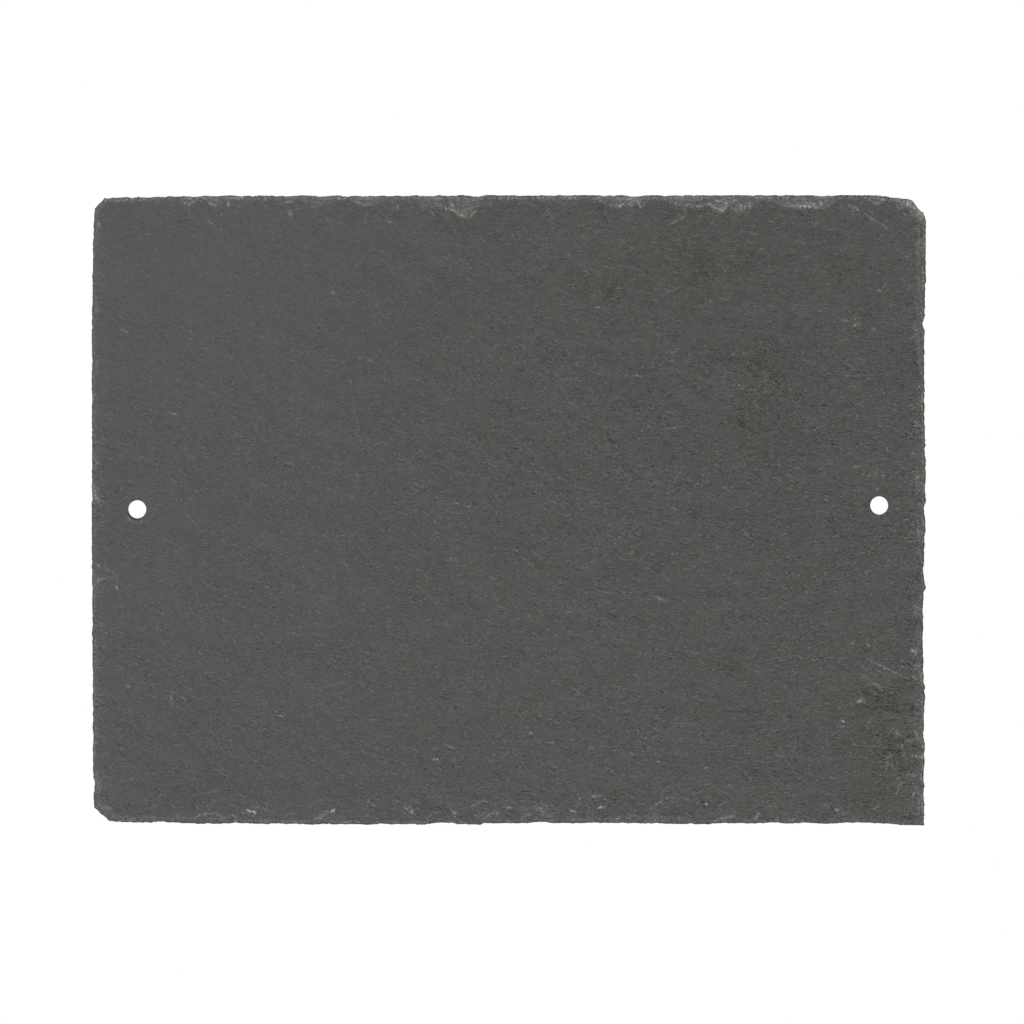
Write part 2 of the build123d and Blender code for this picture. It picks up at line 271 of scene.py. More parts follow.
FACE_MARKS = [
    (331, 292, 333, 292.5, 0, 0.9, 1.0), (260, 336, 262, 337, 0, 0.9, 0.9),
    (584, 270, 586, 270.5, 0, 0.9, 1.0), (872, 328, 874, 329, 0, 0.9, 1.4),
    (842, 320.5, 847.5, 320, 0, 0.8, 1.0), (636, 375, 639, 375.5, 0, 0.8, 1.0),
    (638, 465, 641, 466, 0, 0.8, 1.0), (743, 353, 746, 353.5, 0, 0.9, 1.1),
    (656.5, 596.5, 664, 600.8, 0, 0.9, 1.1), (126, 685, 128, 685.5, 0, 1.0, 1.1),
    (168.5, 695, 172, 700, -1, 0.9, 1.0), (433.5, 759, 437, 758.8, 0, 0.9, 1.8),
    (529, 731, 531, 732, 0, 0.9, 0.9), (704, 767, 707, 767.5, 0, 0.9, 1.1),
    (873, 662, 907, 678, 0, 0.65, 0.9), (879, 665, 886, 668, 0, 0.7, 1.2),
    (865, 677, 879, 689, -1, 0.8, 0.7), (857, 701.5, 864, 701.5, -1, 0.75, 2.2),
    (858, 698, 864, 698.5, 0, 0.6, 0.9), (863, 693, 886, 700, -1, 0.8, -0.4),
    (872, 688, 897, 699, -1, 0.8, -0.4), (868, 707, 900, 712, -1, 0.8, -0.35),
    (893, 751, 900, 750, 0, 0.9, -0.6), (899, 738, 903, 741, 0, 0.8, -0.5),
    (841, 720, 843, 721, 0, 1.0, 2.2), (841, 726, 843, 726, 0, 0.9, 1.0),
    (866, 721, 870, 723, 0, 1.0, 0.8), (895, 731, 898, 735, 0, 1.6, 1.0),
    (887, 757, 891, 754, 0, 1.0, 2.2), (866, 643, 868, 645, 0, 1.0, 1.3),
    (850, 643, 853, 643, 0, 0.9, 0.8), (884, 772, 888, 762, 0, 0.9, 0.6),
    (900, 735, 906, 760, 1, 1.0, 0.5), (107, 447, 117, 451, 0, 1.2, -0.2),
    (857, 705, 867, 706, 0, 1.2, -0.3),
    (606.5, 432, 608.5, 439, 0, 1.3, -0.28), (740, 616, 752, 616, 0, 1.6, -0.2),
    (655, 564, 668, 565, 0, 2.0, -0.15), (283, 388, 292, 389, 0, 1.8, -0.15),
    (608.5, 439, 619, 445, 0, 1.3, -0.3), (606, 444.5, 609, 444, 0, 1.0, 0.35),
    (560.5, 488, 568, 491.5, 0, 0.7, -0.4), (558.5, 490, 566, 495.5, -1, 0.7, -0.35),
    (559, 508.5, 561, 510, 0, 0.8, -0.4), (567, 505, 568, 508, 0, 0.8, -0.35),
    (606, 613, 617, 616.5, 0, 0.9, -0.35), (583, 580, 590, 581.3, 0, 0.7, -0.25),
    (660, 594, 670, 597, 0, 1.3, -0.25), (656.5, 594, 658.5, 594.5, 0, 0.8, -0.6),
    (436, 756.5, 437, 757, 0, 0.8, -0.6), (434.5, 747.5, 435.5, 748, 0, 0.9, 1.3),
    (447, 745, 452, 747, 0, 0.9, 1.0), (853.5, 466.5, 857.5, 466.5, 0, 1.0, 1.1),
    (121, 329.5, 127, 331.5, 0, 0.9, 1.0), (851, 318.5, 855, 319, 0, 0.8, 0.8),
    (853.5, 325, 857, 323.5, 0, 1.1, 1.1), (666, 291, 672, 290.5, 0, 1.2, 0.5),
    (672, 288, 679, 287.5, 0, 0.9, 0.4), (878.5, 291.5, 885.5, 283, 0, 1.0, 0.6),
    (656.5, 761.3, 659, 761.3, 0, 0.8, 1.4), (655, 753, 655.8, 754, 0, 0.8, 0.8),
    (648, 747, 650, 747.5, 0, 0.9, 0.7), (805.5, 590.8, 807, 591, 0, 0.9, 1.4),
    (811.5, 591, 813, 591.3, 0, 0.8, 1.1), (182, 696, 185, 698.5, 0, 0.8, 1.0),
    (171.5, 703.5, 173.5, 703.5, 0, 0.8, 0.6), (886.5, 448, 887, 452, 0, 0.9, 0.8),
    (595.5, 307, 599, 307, 0, 1.0, 0.8), (723.5, 487.5, 726, 486.5, 0, 0.9, 0.6),
    (867, 475, 870, 475, 0, 1.0, 0.7), (874, 489, 877, 489, 0, 0.8, 0.7),
]

# Soft patches read off the picture, in its pixels: (x, y, half width, half height, darkness,
# olive tint)
PATCHES = [
    (690, 330, 330, 260, 0.085, 0.0), (690, 262, 170, 60, 0.03, 0.2),
    (578, 284, 12, 7, 0.13, 0.3), (604, 293, 13, 11, 0.12, 0.3), (699, 277, 12, 20, 0.11, 0.3),
    (763, 374, 20, 26, 0.10, 0.5), (742, 421, 14, 12, 0.19, 1.1), (755, 449, 12, 9, 0.08, 0.5),
    (770, 459, 8, 5, 0.10, 0.2), (800, 451, 9, 5, 0.08, 0.2), (783, 392, 14, 10, 0.05, 0.2),
    (846, 269, 14, 10, 0.07, 0.2), (486, 236, 14, 5, 0.08, 0.0), (503, 500, 9, 4, 0.08, 0.0),
    (660, 569, 10, 5, 0.09, 0.1), (622, 667, 14, 5, 0.08, 0.1), (567, 641, 10, 4, 0.07, 0.0),
    (732, 667, 12, 5, 0.08, 0.2), (782, 641, 14, 5, 0.09, 0.3), (372, 417, 24, 18, 0.02, 0.0),
    (177, 688, 26, 22, 0.03, 0.0), (430, 213, 9, 6, 0.10, 0.0), (446, 215, 14, 6, 0.12, 0.0),
    (428, 804, 12, 8, 0.09, 0.0), (838, 706, 16, 12, 0.05, 0.4), (866, 644, 14, 10, 0.05, 0.9),
    (886, 742, 22, 44, 0.09, 1.1), (882, 699, 20, 12, 0.10, 0.4), (868, 732, 6, 4, 0.12, 0.3),
    (899, 739, 5, 3, 0.16, 0.3), (898, 752, 8, 4, 0.24, 0.4), (902, 771, 8, 3, 0.24, 0.3),
    (884, 778, 12, 14, 0.09, 0.8), (876, 796, 20, 18, 0.03, 0.8), (914, 707, 5, 6, 0.16, 0.0),
    (905, 680, 12, 6, 0.03, 0.8), (891, 775, 5, 5, -0.06, -0.8), (888, 801, 10, 5, -0.03, -0.4),
    (918, 814, 8, 9, -0.08, -0.4), (112, 783, 14, 18, -0.06, 0.0), (150, 560, 60, 90, -0.02, -0.2),
    (799, 583, 9, 7, 0.03, 0.7), (868, 468, 5, 6, 0.0, 0.9),
]

# Brown stains, and patches of rough speckled stone, in the same way: (x, y, half width,
# half height, strength)
STAINS = [
    (724, 214.5, 5, 2.5, 1.2), (877, 632, 5, 4, 0.7), (909, 745, 4, 6, 1.4), (906, 762, 4, 10, 1.6),
    (883, 762, 4, 4, 1.3),
]
ROUGHS = [
    (140, 205, 14, 8, 0.5), (178, 208, 16, 9, 0.8), (200, 212, 20, 12, 0.8), (222, 210, 10, 8, 0.8),
    (236, 206, 10, 8, 0.5), (290, 207, 9, 8, 0.5), (400, 213, 14, 8, 0.5), (440, 207, 12, 7, 0.8),
    (462, 208, 13, 8, 1.1), (552, 214, 10, 8, 0.4), (610, 202, 12, 6, 0.7), (632, 202, 12, 7, 1.2),
    (670, 201, 24, 5, 0.6), (700, 202, 14, 6, 0.6), (722, 205, 14, 7, 1.1), (744, 206, 9, 6, 1.0),
    (776, 202, 12, 5, 0.5), (812, 203, 20, 5, 1.0), (852, 206, 10, 5, 0.6), (872, 201, 10, 5, 0.6),
    (900, 204, 13, 7, 0.7), (915, 217, 7, 12, 0.7), (96, 215, 4, 16, 0.5), (96, 465, 5, 12, 0.8),
    (98, 495, 5, 8, 0.5), (102, 577, 9, 14, 0.6), (108, 808, 12, 8, 0.5), (210, 814, 16, 6, 0.5),
    (251, 811, 11, 6, 0.8), (324, 815, 13, 6, 0.7), (368, 806, 10, 8, 0.4), (405, 809, 10, 6, 0.8),
    (452, 812, 8, 6, 0.6), (492, 806, 16, 6, 0.6), (538, 812, 14, 9, 0.8), (572, 811, 8, 5, 0.5),
    (596, 801, 18, 9, 0.5), (640, 817, 22, 5, 0.5), (660, 803, 22, 6, 0.4), (838, 810, 12, 7, 0.6),
    (918, 300, 5, 60, 0.4), (916, 425, 8, 8, 0.5), (915, 480, 8, 8, 0.5), (915, 655, 7, 12, 0.7),
    (916, 735, 7, 14, 0.6), (880, 690, 22, 16, 0.5), (890, 745, 16, 26, 0.7),
    (864, 722, 12, 6, 0.5),
]


class Wiring:
    """Adds nodes to a tree and joins them. A value is a number, a vector or a node's socket."""

    def __init__(self, tree):
        self.tree = tree

    def add(self, kind, **settings):
        node = self.tree.nodes.new(kind)
        for name, value in settings.items():
            setattr(node, name, value)
        return node

    def feed(self, socket, value):
        if isinstance(value, bpy.types.NodeSocket):
            self.tree.links.new(value, socket)
        else:
            socket.default_value = value

    def math(self, operation, *values):
        node = self.add("ShaderNodeMath", operation=operation)
        for socket, value in zip(node.inputs, values):
            self.feed(socket, value)
        return node.outputs[0]

    def total(self, *values):
        result = values[0]
        for value in values[1:]:
            result = self.math("ADD", result, value)
        return result

    def product(self, *values):
        result = values[0]
        for value in values[1:]:
            result = self.math("MULTIPLY", result, value)
        return result

    def vector(self, operation, first, second):
        node = self.add("ShaderNodeVectorMath", operation=operation)
        self.feed(node.inputs[0], first)
        self.feed(node.inputs["Scale"] if operation == "SCALE" else node.inputs[1], second)
        return node.outputs[0]

    def ramp(self, value, low, high, to_low=0.0, to_high=1.0, kind="SMOOTHSTEP"):
        node = self.add("ShaderNodeMapRange", interpolation_type=kind, clamp=True)
        for socket, number in zip(node.inputs, (value, low, high, to_low, to_high)):
            self.feed(socket, number)
        return node.outputs[0]

    def noise(self, place, size, detail=2.0, roughness=0.5, seed=0.0):
        """Noise from 0 to 1 with features of about this size in millimetres."""
        node = self.add("ShaderNodeTexNoise", noise_dimensions="4D")
        self.feed(node.inputs["Vector"], place)
        self.feed(node.inputs["W"], seed)
        self.feed(node.inputs["Scale"], 1 / size)
        self.feed(node.inputs["Detail"], detail)
        self.feed(node.inputs["Roughness"], roughness)
        return node.outputs[0]

    def parts(self, place):
        """The X, Y and Z of a place."""
        node = self.add("ShaderNodeSeparateXYZ")
        self.feed(node.inputs[0], place)
        return node.outputs

    def joined(self, **parts):
        """A place with these parts, and nought for any other."""
        node = self.add("ShaderNodeCombineXYZ")
        for name, value in parts.items():
            self.feed(node.inputs[name], value)
        return node.outputs[0]

    def turned(self, place, degrees, stretch):
        """The place turned in the face's plane and squeezed, so that a pattern runs down to the
        right at this many degrees and is this many times as long as it is wide."""
        node = self.add("ShaderNodeVectorRotate", rotation_type="Y_AXIS")
        self.feed(node.inputs["Vector"], place)
        self.feed(node.inputs["Angle"], self.math("RADIANS", self.product(degrees, -1.0)))
        return self.vector("MULTIPLY", node.outputs[0], (1 / stretch, 1.0, 1.0))


# Reading the slab

def cad_surface():
    """The CAD slab's distinct corners in millimetres, and a tree to cast rays at its surface."""
    mesh = frame["nodes"][NODE].data
    mesh.calc_loop_triangles()
    corners = np.array([v.co for v in mesh.vertices]) / MM
    triangles = [t.vertices[:] for t in mesh.loop_triangles]
    return np.unique(corners.round(4), axis=0), BVHTree.FromPolygons(corners.tolist(), triangles)


def bores():
    """The screw holes as (x, z, radius), from the record's mounts."""
    mounts = [m for m in frame["record"]["mounts"] if m["kind"] == "bore"]
    return [(m["pos_m"][0] / MM, m["pos_m"][2] / MM, m["dims"]["r_mm"]) for m in mounts]


def in_order(ring, half):
    """A ring's corners clockwise from the top left: by nearest side, then by place along it."""
    x, z = ring[:, 0], ring[:, 1]
    side = np.stack([half[1] - z, half[0] - x, half[1] + z, half[0] + x]).argmin(0)
    along = np.choose(side, [x, -z, -x, z])
    return ring[np.lexsort((along, side))]


def matched(ring, reference, furthest=3):
    """A ring turned by a few corners so that they lie opposite those of the reference ring."""
    turns = [np.roll(ring, shift, 0) for shift in range(-furthest, furthest + 1)]
    return min(turns, key=lambda turn: np.abs(turn[:, :2] - reference[:, :2]).sum())


def beside_holes(points, holes):
    """Which points lie where a hole and its spall shape the slab."""
    zones = [np.hypot(points[:, 0] - x, points[:, 1] - z) < SPALL_ZONE * radius
             for x, z, radius in holes]
    return np.any(zones, axis=0)


def slab_rings(corners, holes, half, thickness):
    """The slab's four rings of corners, each as rows of (x, z, depth), matched corner to corner."""
    points = np.stack([corners[:, 0], corners[:, 2], -corners[:, 1]], 1)
    points = points[~beside_holes(points, holes)]
    rings = []
    for low, high in RING_DEPTHS:
        share = points[:, 2] / thickness
        rings.append(in_order(points[(share >= low) & (share < high)], half))
    return [matched(ring, rings[WAIST_RING]) for ring in rings]


# The edge mesh

def eased(values, segment, t):
    """Values at each ring corner carried smoothly along the segments to their parts t."""
    before, here, after, beyond = (values[(segment + k) % len(values)] for k in (-1, 0, 1, 2))
    t = t[:, None]
    return 0.5 * (2 * here + (after - before) * t
                  + (2 * before - 5 * here + 4 * after - beyond) * t**2
                  + (3 * here - before - 3 * after + beyond) * t**3)


def edge_knots(rings, half, thickness):
    """At each close station round the outline, the six knots of the edge's section, as arrays of
    (x, z, depth) from the back strip to the face strip, and the direction that leads inward."""
    waist = rings[WAIST_RING]
    gaps = np.linalg.norm(np.roll(waist, -1, 0)[:, :2] - waist[:, :2], axis=1)
    steps = np.maximum(1, np.rint(gaps / STATION_GAP)).astype(int)
    segment = np.repeat(np.arange(len(waist)), steps)
    t = np.concatenate([np.arange(n) / n for n in steps])
    nxt = np.roll(waist, -1, 0)[segment]
    line = waist[segment] + (nxt - waist[segment]) * t[:, None]
    knots = []
    for ring in rings:
        knots.append(line + eased(ring - waist, segment, t))
    inward = (knots[FACE_RING] - line)[:, :2]
    inward /= np.linalg.norm(inward, axis=1)[:, None]
    lead = np.pad(inward, ((0, 0), (0, 1)))
    for k in (WAIST_RING, FOOT_RING):
        knots[k] = knots[k] - lead * PROUD
        knots[k][:, :2] = np.clip(knots[k][:, :2], -half, half)
    knots[BACK_RING][:, 2] = 0
    knots[FACE_RING][:, 2] = thickness
    first = knots[BACK_RING] + lead * BACK_STRIP
    last = knots[FACE_RING] + lead * FACE_STRIP
    return [first, *knots, last], inward


def edge_rows(knots):
    """Rows of points from the back strip to the face strip, and each one's place in knots."""
    rows = []
    places = []
    for k, count in enumerate(ROWS):
        for step in range(count):
            t = step / count
            rows.append(knots[k] + (knots[k + 1] - knots[k]) * t)
            places.append(k + t)
    return rows + [knots[-1]], places + [len(ROWS)]


# Marks and patches

def on_slab(x, y):
    """The slab's (x, z) at a point of the picture."""
    return np.array([(x - SLAB_CENTRE_PX[0]) * PIXEL, (SLAB_CENTRE_PX[1] - y) * PIXEL])


def mark_paths():
    """Each mark as close points along its bowed line, its half width and its strength."""
    paths = []
    marks = TOP_MARKS + BOTTOM_MARKS + SIDE_MARKS + FACE_MARKS
    for x0, y0, x1, y1, bow, half_width, strength in marks:
        start = on_slab(x0, y0)
        run = on_slab(x1, y1) - start
        length = np.linalg.norm(run)
        right = np.array([run[1], -run[0]]) / length
        t = np.linspace(0, 1, 2 + int(length / PATH_GAP))[:, None]
        line = start + run * t + right * 4 * bow * PIXEL * t * (1 - t)
        paths.append((line, half_width * PIXEL, strength))
    return paths


def off_line(points, line):
    """The distance of each point from a line of close points."""
    return np.linalg.norm(points[:, None] - line[None], axis=2).min(1)


def mark_values(points, paths):
    """How much lighter than the stone the marks make each point."""
    values = np.zeros(len(points))
    for line, half_width, strength in paths:
        reach = MARK_REACH * half_width
        boxed = ((points > line.min(0) - reach) & (points < line.max(0) + reach)).all(1)
        near = np.flatnonzero(boxed)
        values[near] += strength * np.exp(-(off_line(points[near], line) / half_width) ** 2)
    return values


def patch_values(points, patches):
    """The patches' values at each point: one column for each value that follows a patch's size."""
    values = np.zeros((len(points), len(patches[0]) - 4))
    for x, y, half_width, half_height, *strengths in patches:
        off = (points - on_slab(x, y)) / (np.array([half_width, half_height]) * PIXEL)
        values += np.exp(-(off**2).sum(1))[:, None] * strengths
    return values


# The face meshes

def near_marks(x, z, paths):
    """Which of the lattice's points lie close to a mark."""
    close = np.zeros(x.shape, bool)
    for line, half_width, _ in paths:
        reach = MARK_REACH * half_width
        first = np.searchsorted(z[:, 0], line[:, 1].min() - reach)
        last = np.searchsorted(z[:, 0], line[:, 1].max() + reach)
        left = np.searchsorted(x[0], line[:, 0].min() - reach)
        right = np.searchsorted(x[0], line[:, 0].max() + reach)
        box = (slice(first, last), slice(left, right))
        points = np.stack([x[box].ravel(), z[box].ravel()], 1)
        close[box] |= (off_line(points, line) < reach).reshape(x[box].shape)
    return close


def face_points(boundary, inward, holes, step, half, paths):
    """The lattice's points over a face inside its boundary, apart by so many steps: half as many
    beside the boundary, and one step at the marks."""
    rows = np.arange(-int(half[1] / LATTICE_RISE), int(half[1] / LATTICE_RISE) + 1)
    columns = np.arange(-int(half[0] / LATTICE_GAP), int(half[0] / LATTICE_GAP) + 1)
    row, column = np.meshgrid(rows, columns, indexing="ij")
    x = (column + row % 2 / 2) * LATTICE_GAP
    z = row * LATTICE_RISE
    skew = column - row // 2
    coarse = (row % step == 0) & (skew % step == 0)
    finer = (row % (step // 2) == 0) & (skew % (step // 2) == 0)
    marked = near_marks(x, z, paths)
    uneven = np.minimum(half[0] - np.abs(x), half[1] - np.abs(z)) < UNEVEN_MARGIN
    keep = coarse | marked | (finer & uneven)
    points = np.stack([x[keep], z[keep]], 1)
    wanted = (coarse | marked)[keep]
    clear = np.ones(len(points), bool)

    tree = KDTree(len(boundary))
    for number, point in enumerate(boundary):
        tree.insert((*point, 0), number)
    tree.balance()
    for i in np.flatnonzero(uneven[keep]):
        _, number, distance = tree.find((*points[i], 0))
        inside = (points[i] - boundary[number]) @ inward[number] > 0
        clear[i] = inside and distance > EDGE_CLEARANCE and (wanted[i] or distance < FINE_MARGIN)
    for hole_x, hole_z, radius in holes:
        reach = radius + HOLE_RINGS[-1] + EDGE_CLEARANCE
        clear &= np.hypot(points[:, 0] - hole_x, points[:, 1] - hole_z) > reach
    return points[clear]


def hole_ring(hole, offset):
    """Points round a hole at a distance outside its wall."""
    x, z, radius = hole
    angle = np.arange(HOLE_POINTS) * 2 * math.pi / HOLE_POINTS
    out = radius + offset
    return np.stack([x + out * np.cos(angle), z + out * np.sin(angle)], 1)


def joined_loop(start, count):
    """The edges of a closed loop of numbered points."""
    return [(start + i, start + (i + 1) % count) for i in range(count)]


def face_triangles(boundary, rims, inner, tolerance=1e-5):
    """Triangles over a face: its boundary loop, then the rim loops of its holes, then inner points,
    numbered in that order. None lies in a hole."""
    points = np.concatenate([boundary, *rims, inner])
    edges = joined_loop(0, len(boundary))
    starts = []
    start = len(boundary)
    for rim in rims:
        edges += joined_loop(start, len(rim))
        starts.append(start)
        start += len(rim)
    inside_only = 1
    made = delaunay_2d_cdt([Vector(p) for p in points], edges, [], inside_only, tolerance)
    source = np.array([origins[0] for origins in made[3]])
    triangles = source[np.array(made[2])]
    for first in starts:
        on_rim = (triangles >= first) & (triangles < first + HOLE_POINTS)
        triangles = triangles[~on_rim.all(1)]
    return triangles


class Skin:
    """The slab's points, triangles and what is known of each point, gathered part by part."""

    def __init__(self):
        self.points = []
        self.faces = []
        self.facts = {fact: [] for fact in ("inward", "reach", "verge", *EDGE_FACTS)}

    def count(self):
        return sum(len(p) for p in self.points)

    def add(self, points, **facts):
        """Adds points as (x, z, depth) and returns their numbers. A fact not given is nought."""
        first = self.count()
        self.points.append(points)
        for name, parts in self.facts.items():
            width = 2 if name == "inward" else 1
            value = facts.get(name, np.zeros(width))
            parts.append(np.broadcast_to(np.reshape(value, (-1, width)), (len(points), width)))
        return np.arange(first, first + len(points))

    def add_quads(self, low, high):
        """Joins two closed rows of point numbers with pairs of triangles, which face the viewer
        where the rows run to the right and the second lies above the first."""
        low_next, high_next = np.roll(low, -1), np.roll(high, -1)
        self.faces.append(np.stack([low, low_next, high_next], 1))
        self.faces.append(np.stack([low, high_next, high], 1))

    def mesh(self, name, thickness, paths):
        """The mesh with its facts, and the marks and patches on its front half."""
        points = np.concatenate(self.points)
        mesh = bpy.data.meshes.new(name)
        places = np.stack([points[:, 0], -points[:, 2], points[:, 1]], 1) * MM
        mesh.from_pydata(places.tolist(), [], np.concatenate(self.faces).tolist())
        facts = {fact: np.concatenate(parts) for fact, parts in self.facts.items()}
        front = points[:, 2] > thickness / 2
        facts["mark"] = mark_values(points[:, :2], paths) * front
        facts["dark"], facts["olive"] = patch_values(points[:, :2], PATCHES).T * front
        facts["brown"] = patch_values(points[:, :2], STAINS)[:, 0] * front
        facts["rough"] = patch_values(points[:, :2], ROUGHS)[:, 0] * front
        inward = facts.pop("inward")
        attribute = mesh.attributes.new("inward", "FLOAT_VECTOR", "POINT")
        vectors = np.stack([inward[:, 0], np.zeros(len(inward)), inward[:, 1]], 1)
        attribute.data.foreach_set("vector", vectors.astype(np.float32).ravel())
        for fact, values in facts.items():
            attribute = mesh.attributes.new(fact, "FLOAT", "POINT")
            attribute.data.foreach_set("value", values.astype(np.float32).ravel())
        return mesh


def flat_gaps(first, second):
    """The distance in the face's plane between each two points of two rows."""
    return np.linalg.norm((first - second)[:, :2], axis=1)


def add_edge(skin, knots, inward):
    """Adds the broken edge and returns the numbers of its first and last rows."""
    waist, foot, face_edge = knots[2:5]
    foot_place = 3
    reach = flat_gaps(face_edge, waist)
    numbers = []
    for row, place in zip(*edge_rows(knots)):
        facts = {fact: np.interp(place, *ends) for fact, ends in EDGE_FACTS.items()}
        if place > foot_place:
            facts["nibbled"] = np.maximum(1 - flat_gaps(row, foot) / NIBBLE_REACH, 0)
        verge = np.maximum(VERGE - flat_gaps(row, waist), 0)
        numbers.append(skin.add(row, inward=inward, reach=reach, verge=verge, **facts))
    for behind, ahead in zip(numbers, numbers[1:]):
        skin.add_quads(ahead, behind)
    return numbers[0], numbers[-1]


def add_face(skin, boundary, rims, holes, inward, step, half, depth_at, facing, paths):
    """Adds a face inside a boundary row, round the rims of the holes."""
    points = np.concatenate(skin.points)[:, :2]
    rings = [hole_ring(hole, offset) for hole in holes for offset in HOLE_RINGS]
    grid = face_points(points[boundary], inward, holes, step, half, paths)
    inner = np.concatenate([*rings, grid])
    numbers = skin.add(np.column_stack([inner, depth_at(inner)]), facing=facing)
    triangles = face_triangles(points[boundary], [points[rim] for rim in rims], inner)
    skin.faces.append(np.concatenate([boundary, *rims, numbers])[triangles[:, ::facing]])


def add_hole(skin, hole, depth_at):
    """Adds a hole's wall and returns the numbers of its front and back rims."""
    rim = hole_ring(hole, 0.0)
    front = depth_at(hole_ring(hole, HAIR))
    rows = []
    for step in range(HOLE_ROWS + 1):
        down = step / HOLE_ROWS
        rows.append(skin.add(np.column_stack([rim, front * (1 - down)]), facing=1 - 2 * down))
    for low, high in zip(rows, rows[1:]):
        skin.add_quads(low, high)
    return rows[0], rows[-1]


def slab_mesh():
    """The whole slab as one closed mesh, with the facts that its finish needs."""
    corners, surface = cad_surface()
    half = corners.max(0)[[0, 2]]
    thickness = -corners[:, 1].min()
    holes = bores()

    def front_depth(points):
        """Depth of the CAD slab's front surface beside the holes, and of its face elsewhere."""
        depth = np.full(len(points), thickness)
        for i in np.flatnonzero(beside_holes(points, holes)):
            x, z = points[i]
            hit = surface.ray_cast((x, -2 * thickness, z), (0, 1, 0))[0]
            depth[i] = thickness if hit is None else -hit.y
        return depth

    knots, inward = edge_knots(slab_rings(corners, holes, half, thickness), half, thickness)
    paths = mark_paths()
    skin = Skin()
    back_row, face_row = add_edge(skin, knots, inward)
    rims = [add_hole(skin, hole, front_depth) for hole in holes]
    add_face(skin, face_row, [rim[0] for rim in rims], holes, inward, FRONT_STEP, half,
             front_depth, 1, paths)
    add_face(skin, back_row, [rim[1] for rim in rims], holes, inward, BACK_STEP, half,
             lambda points: np.zeros(len(points)), -1, [])
    return skin.mesh(NODE + "_riven", thickness, paths)


# Breaking and riving the stone

def riving_tree(material):
    """The rule by which slate breaks: layers and plies that end one behind another round the edge,
    steps across the scars, and a riven grain over the faces. All of it goes into the slab."""
    tree = bpy.data.node_groups.new("riving", "GeometryNodeTree")
    sockets = tree.interface
    sockets.new_socket("Geometry", in_out="INPUT", socket_type="NodeSocketGeometry")
    for name in BREAKING:
        sockets.new_socket(name, in_out="INPUT", socket_type="NodeSocketFloat")
    sockets.new_socket("Geometry", in_out="OUTPUT", socket_type="NodeSocketGeometry")
    wire = Wiring(tree)
    given = wire.add("NodeGroupInput").outputs
    seed = given["Seed"]

    def fact(name, kind="FLOAT"):
        node = wire.add("GeometryNodeInputNamedAttribute", data_type=kind)
        node.inputs["Name"].default_value = name
        return node.outputs["Attribute"]

    position = wire.add("GeometryNodeInputPosition").outputs[0]
    place = wire.vector("SCALE", position, 1 / MM)
    parts = wire.parts(place)
    flat = wire.joined(X=parts["X"], Z=parts["Z"])
    depth = wire.product(parts["Y"], -1.0)

    def pattern(name, where=flat, own_seed=seed):
        return wire.noise(where, *BREAK_PATTERNS[name], own_seed)

    waved = wire.total(depth, wire.product(pattern("waves"), WAVE_HEIGHT))
    bed = wire.math("DIVIDE", waved, given["Layer"])
    layer = wire.math("FLOOR", bed)
    within = wire.math("FRACT", bed)
    ply = wire.math("FLOOR", wire.math("DIVIDE", waved, given["Ply"]))

    layer_seed = wire.total(seed, wire.product(layer, LAYER_SEED))
    broken_back = wire.ramp(pattern("layer edge", own_seed=layer_seed), 0.42, 0.72)
    ply_seed = wire.total(seed, wire.product(ply, PLY_SEED), FIRST_PLY_SEED)
    set_back = wire.ramp(pattern("ply edge", own_seed=ply_seed), 0.4, 0.6)
    grit = wire.math("SUBTRACT", pattern("grit", where=place), 0.25)
    behind = wire.product(fact("broken"), wire.total(
        wire.product(broken_back, given["Layer Break"]), wire.product(grit, given["Grit"])))
    behind = wire.total(behind, wire.product(pattern("nibbles"), given["Nibble"], fact("nibbled")),
                        wire.product(set_back, given["Ply Break"], fact("wall")))
    inward = wire.vector("SCALE", fact("inward", "FLOAT_VECTOR"), wire.product(behind, MM))

    snapped = wire.ramp(within, 0.62, 1.02)
    cut = wire.product(wire.math("SUBTRACT", within, snapped), given["Layer"])
    step = wire.product(cut, given["Stepping"], fact("scar"))

    swell = wire.product(pattern("swell"), given["Swell"])
    grain = pattern("grain", where=wire.turned(flat, GRAIN_SLOPE, GRAIN_LENGTH))
    riven = wire.product(grain, given["Riven"])
    sheets = pattern("sheets", own_seed=wire.total(seed, SHEET_SEED))
    sheet_step = wire.math("FRACT", wire.product(sheets, SHEETS))
    thin = wire.product(wire.ramp(sheet_step, 0.0, SHEET_END), given["Thin Layer"])
    relief = wire.product(wire.total(swell, riven, thin), fact("facing"))

    down = wire.joined(Y=wire.product(wire.total(relief, step), MM))
    moved = wire.add("GeometryNodeSetPosition")
    wire.feed(moved.inputs["Geometry"], given["Geometry"])
    wire.feed(moved.inputs["Offset"], wire.vector("ADD", inward, down))
    real = wire.add("GeometryNodeRealizeInstances")
    wire.feed(real.inputs[0], moved.outputs[0])
    finished = wire.add("GeometryNodeSetMaterial")
    finished.inputs["Material"].default_value = material
    wire.feed(finished.inputs["Geometry"], real.outputs[0])
    out = wire.add("NodeGroupOutput")
    wire.feed(out.inputs[0], finished.outputs[0])
    return tree


def riven(piece, material):
    """Gives a piece its broken and riven surface and leaves it a plain mesh."""
    tree = riving_tree(material)
    modifier = piece.modifiers.new("riving", "NODES")
    modifier.node_group = tree
    for item in tree.interface.items_tree:
        if item.name in BREAKING:
            modifier[item.identifier] = BREAKING[item.name]
    graph = bpy.context.evaluated_depsgraph_get()
    mesh = bpy.data.meshes.new_from_object(piece.evaluated_get(graph))
    piece.modifiers.clear()
    piece.data = mesh


# Materials

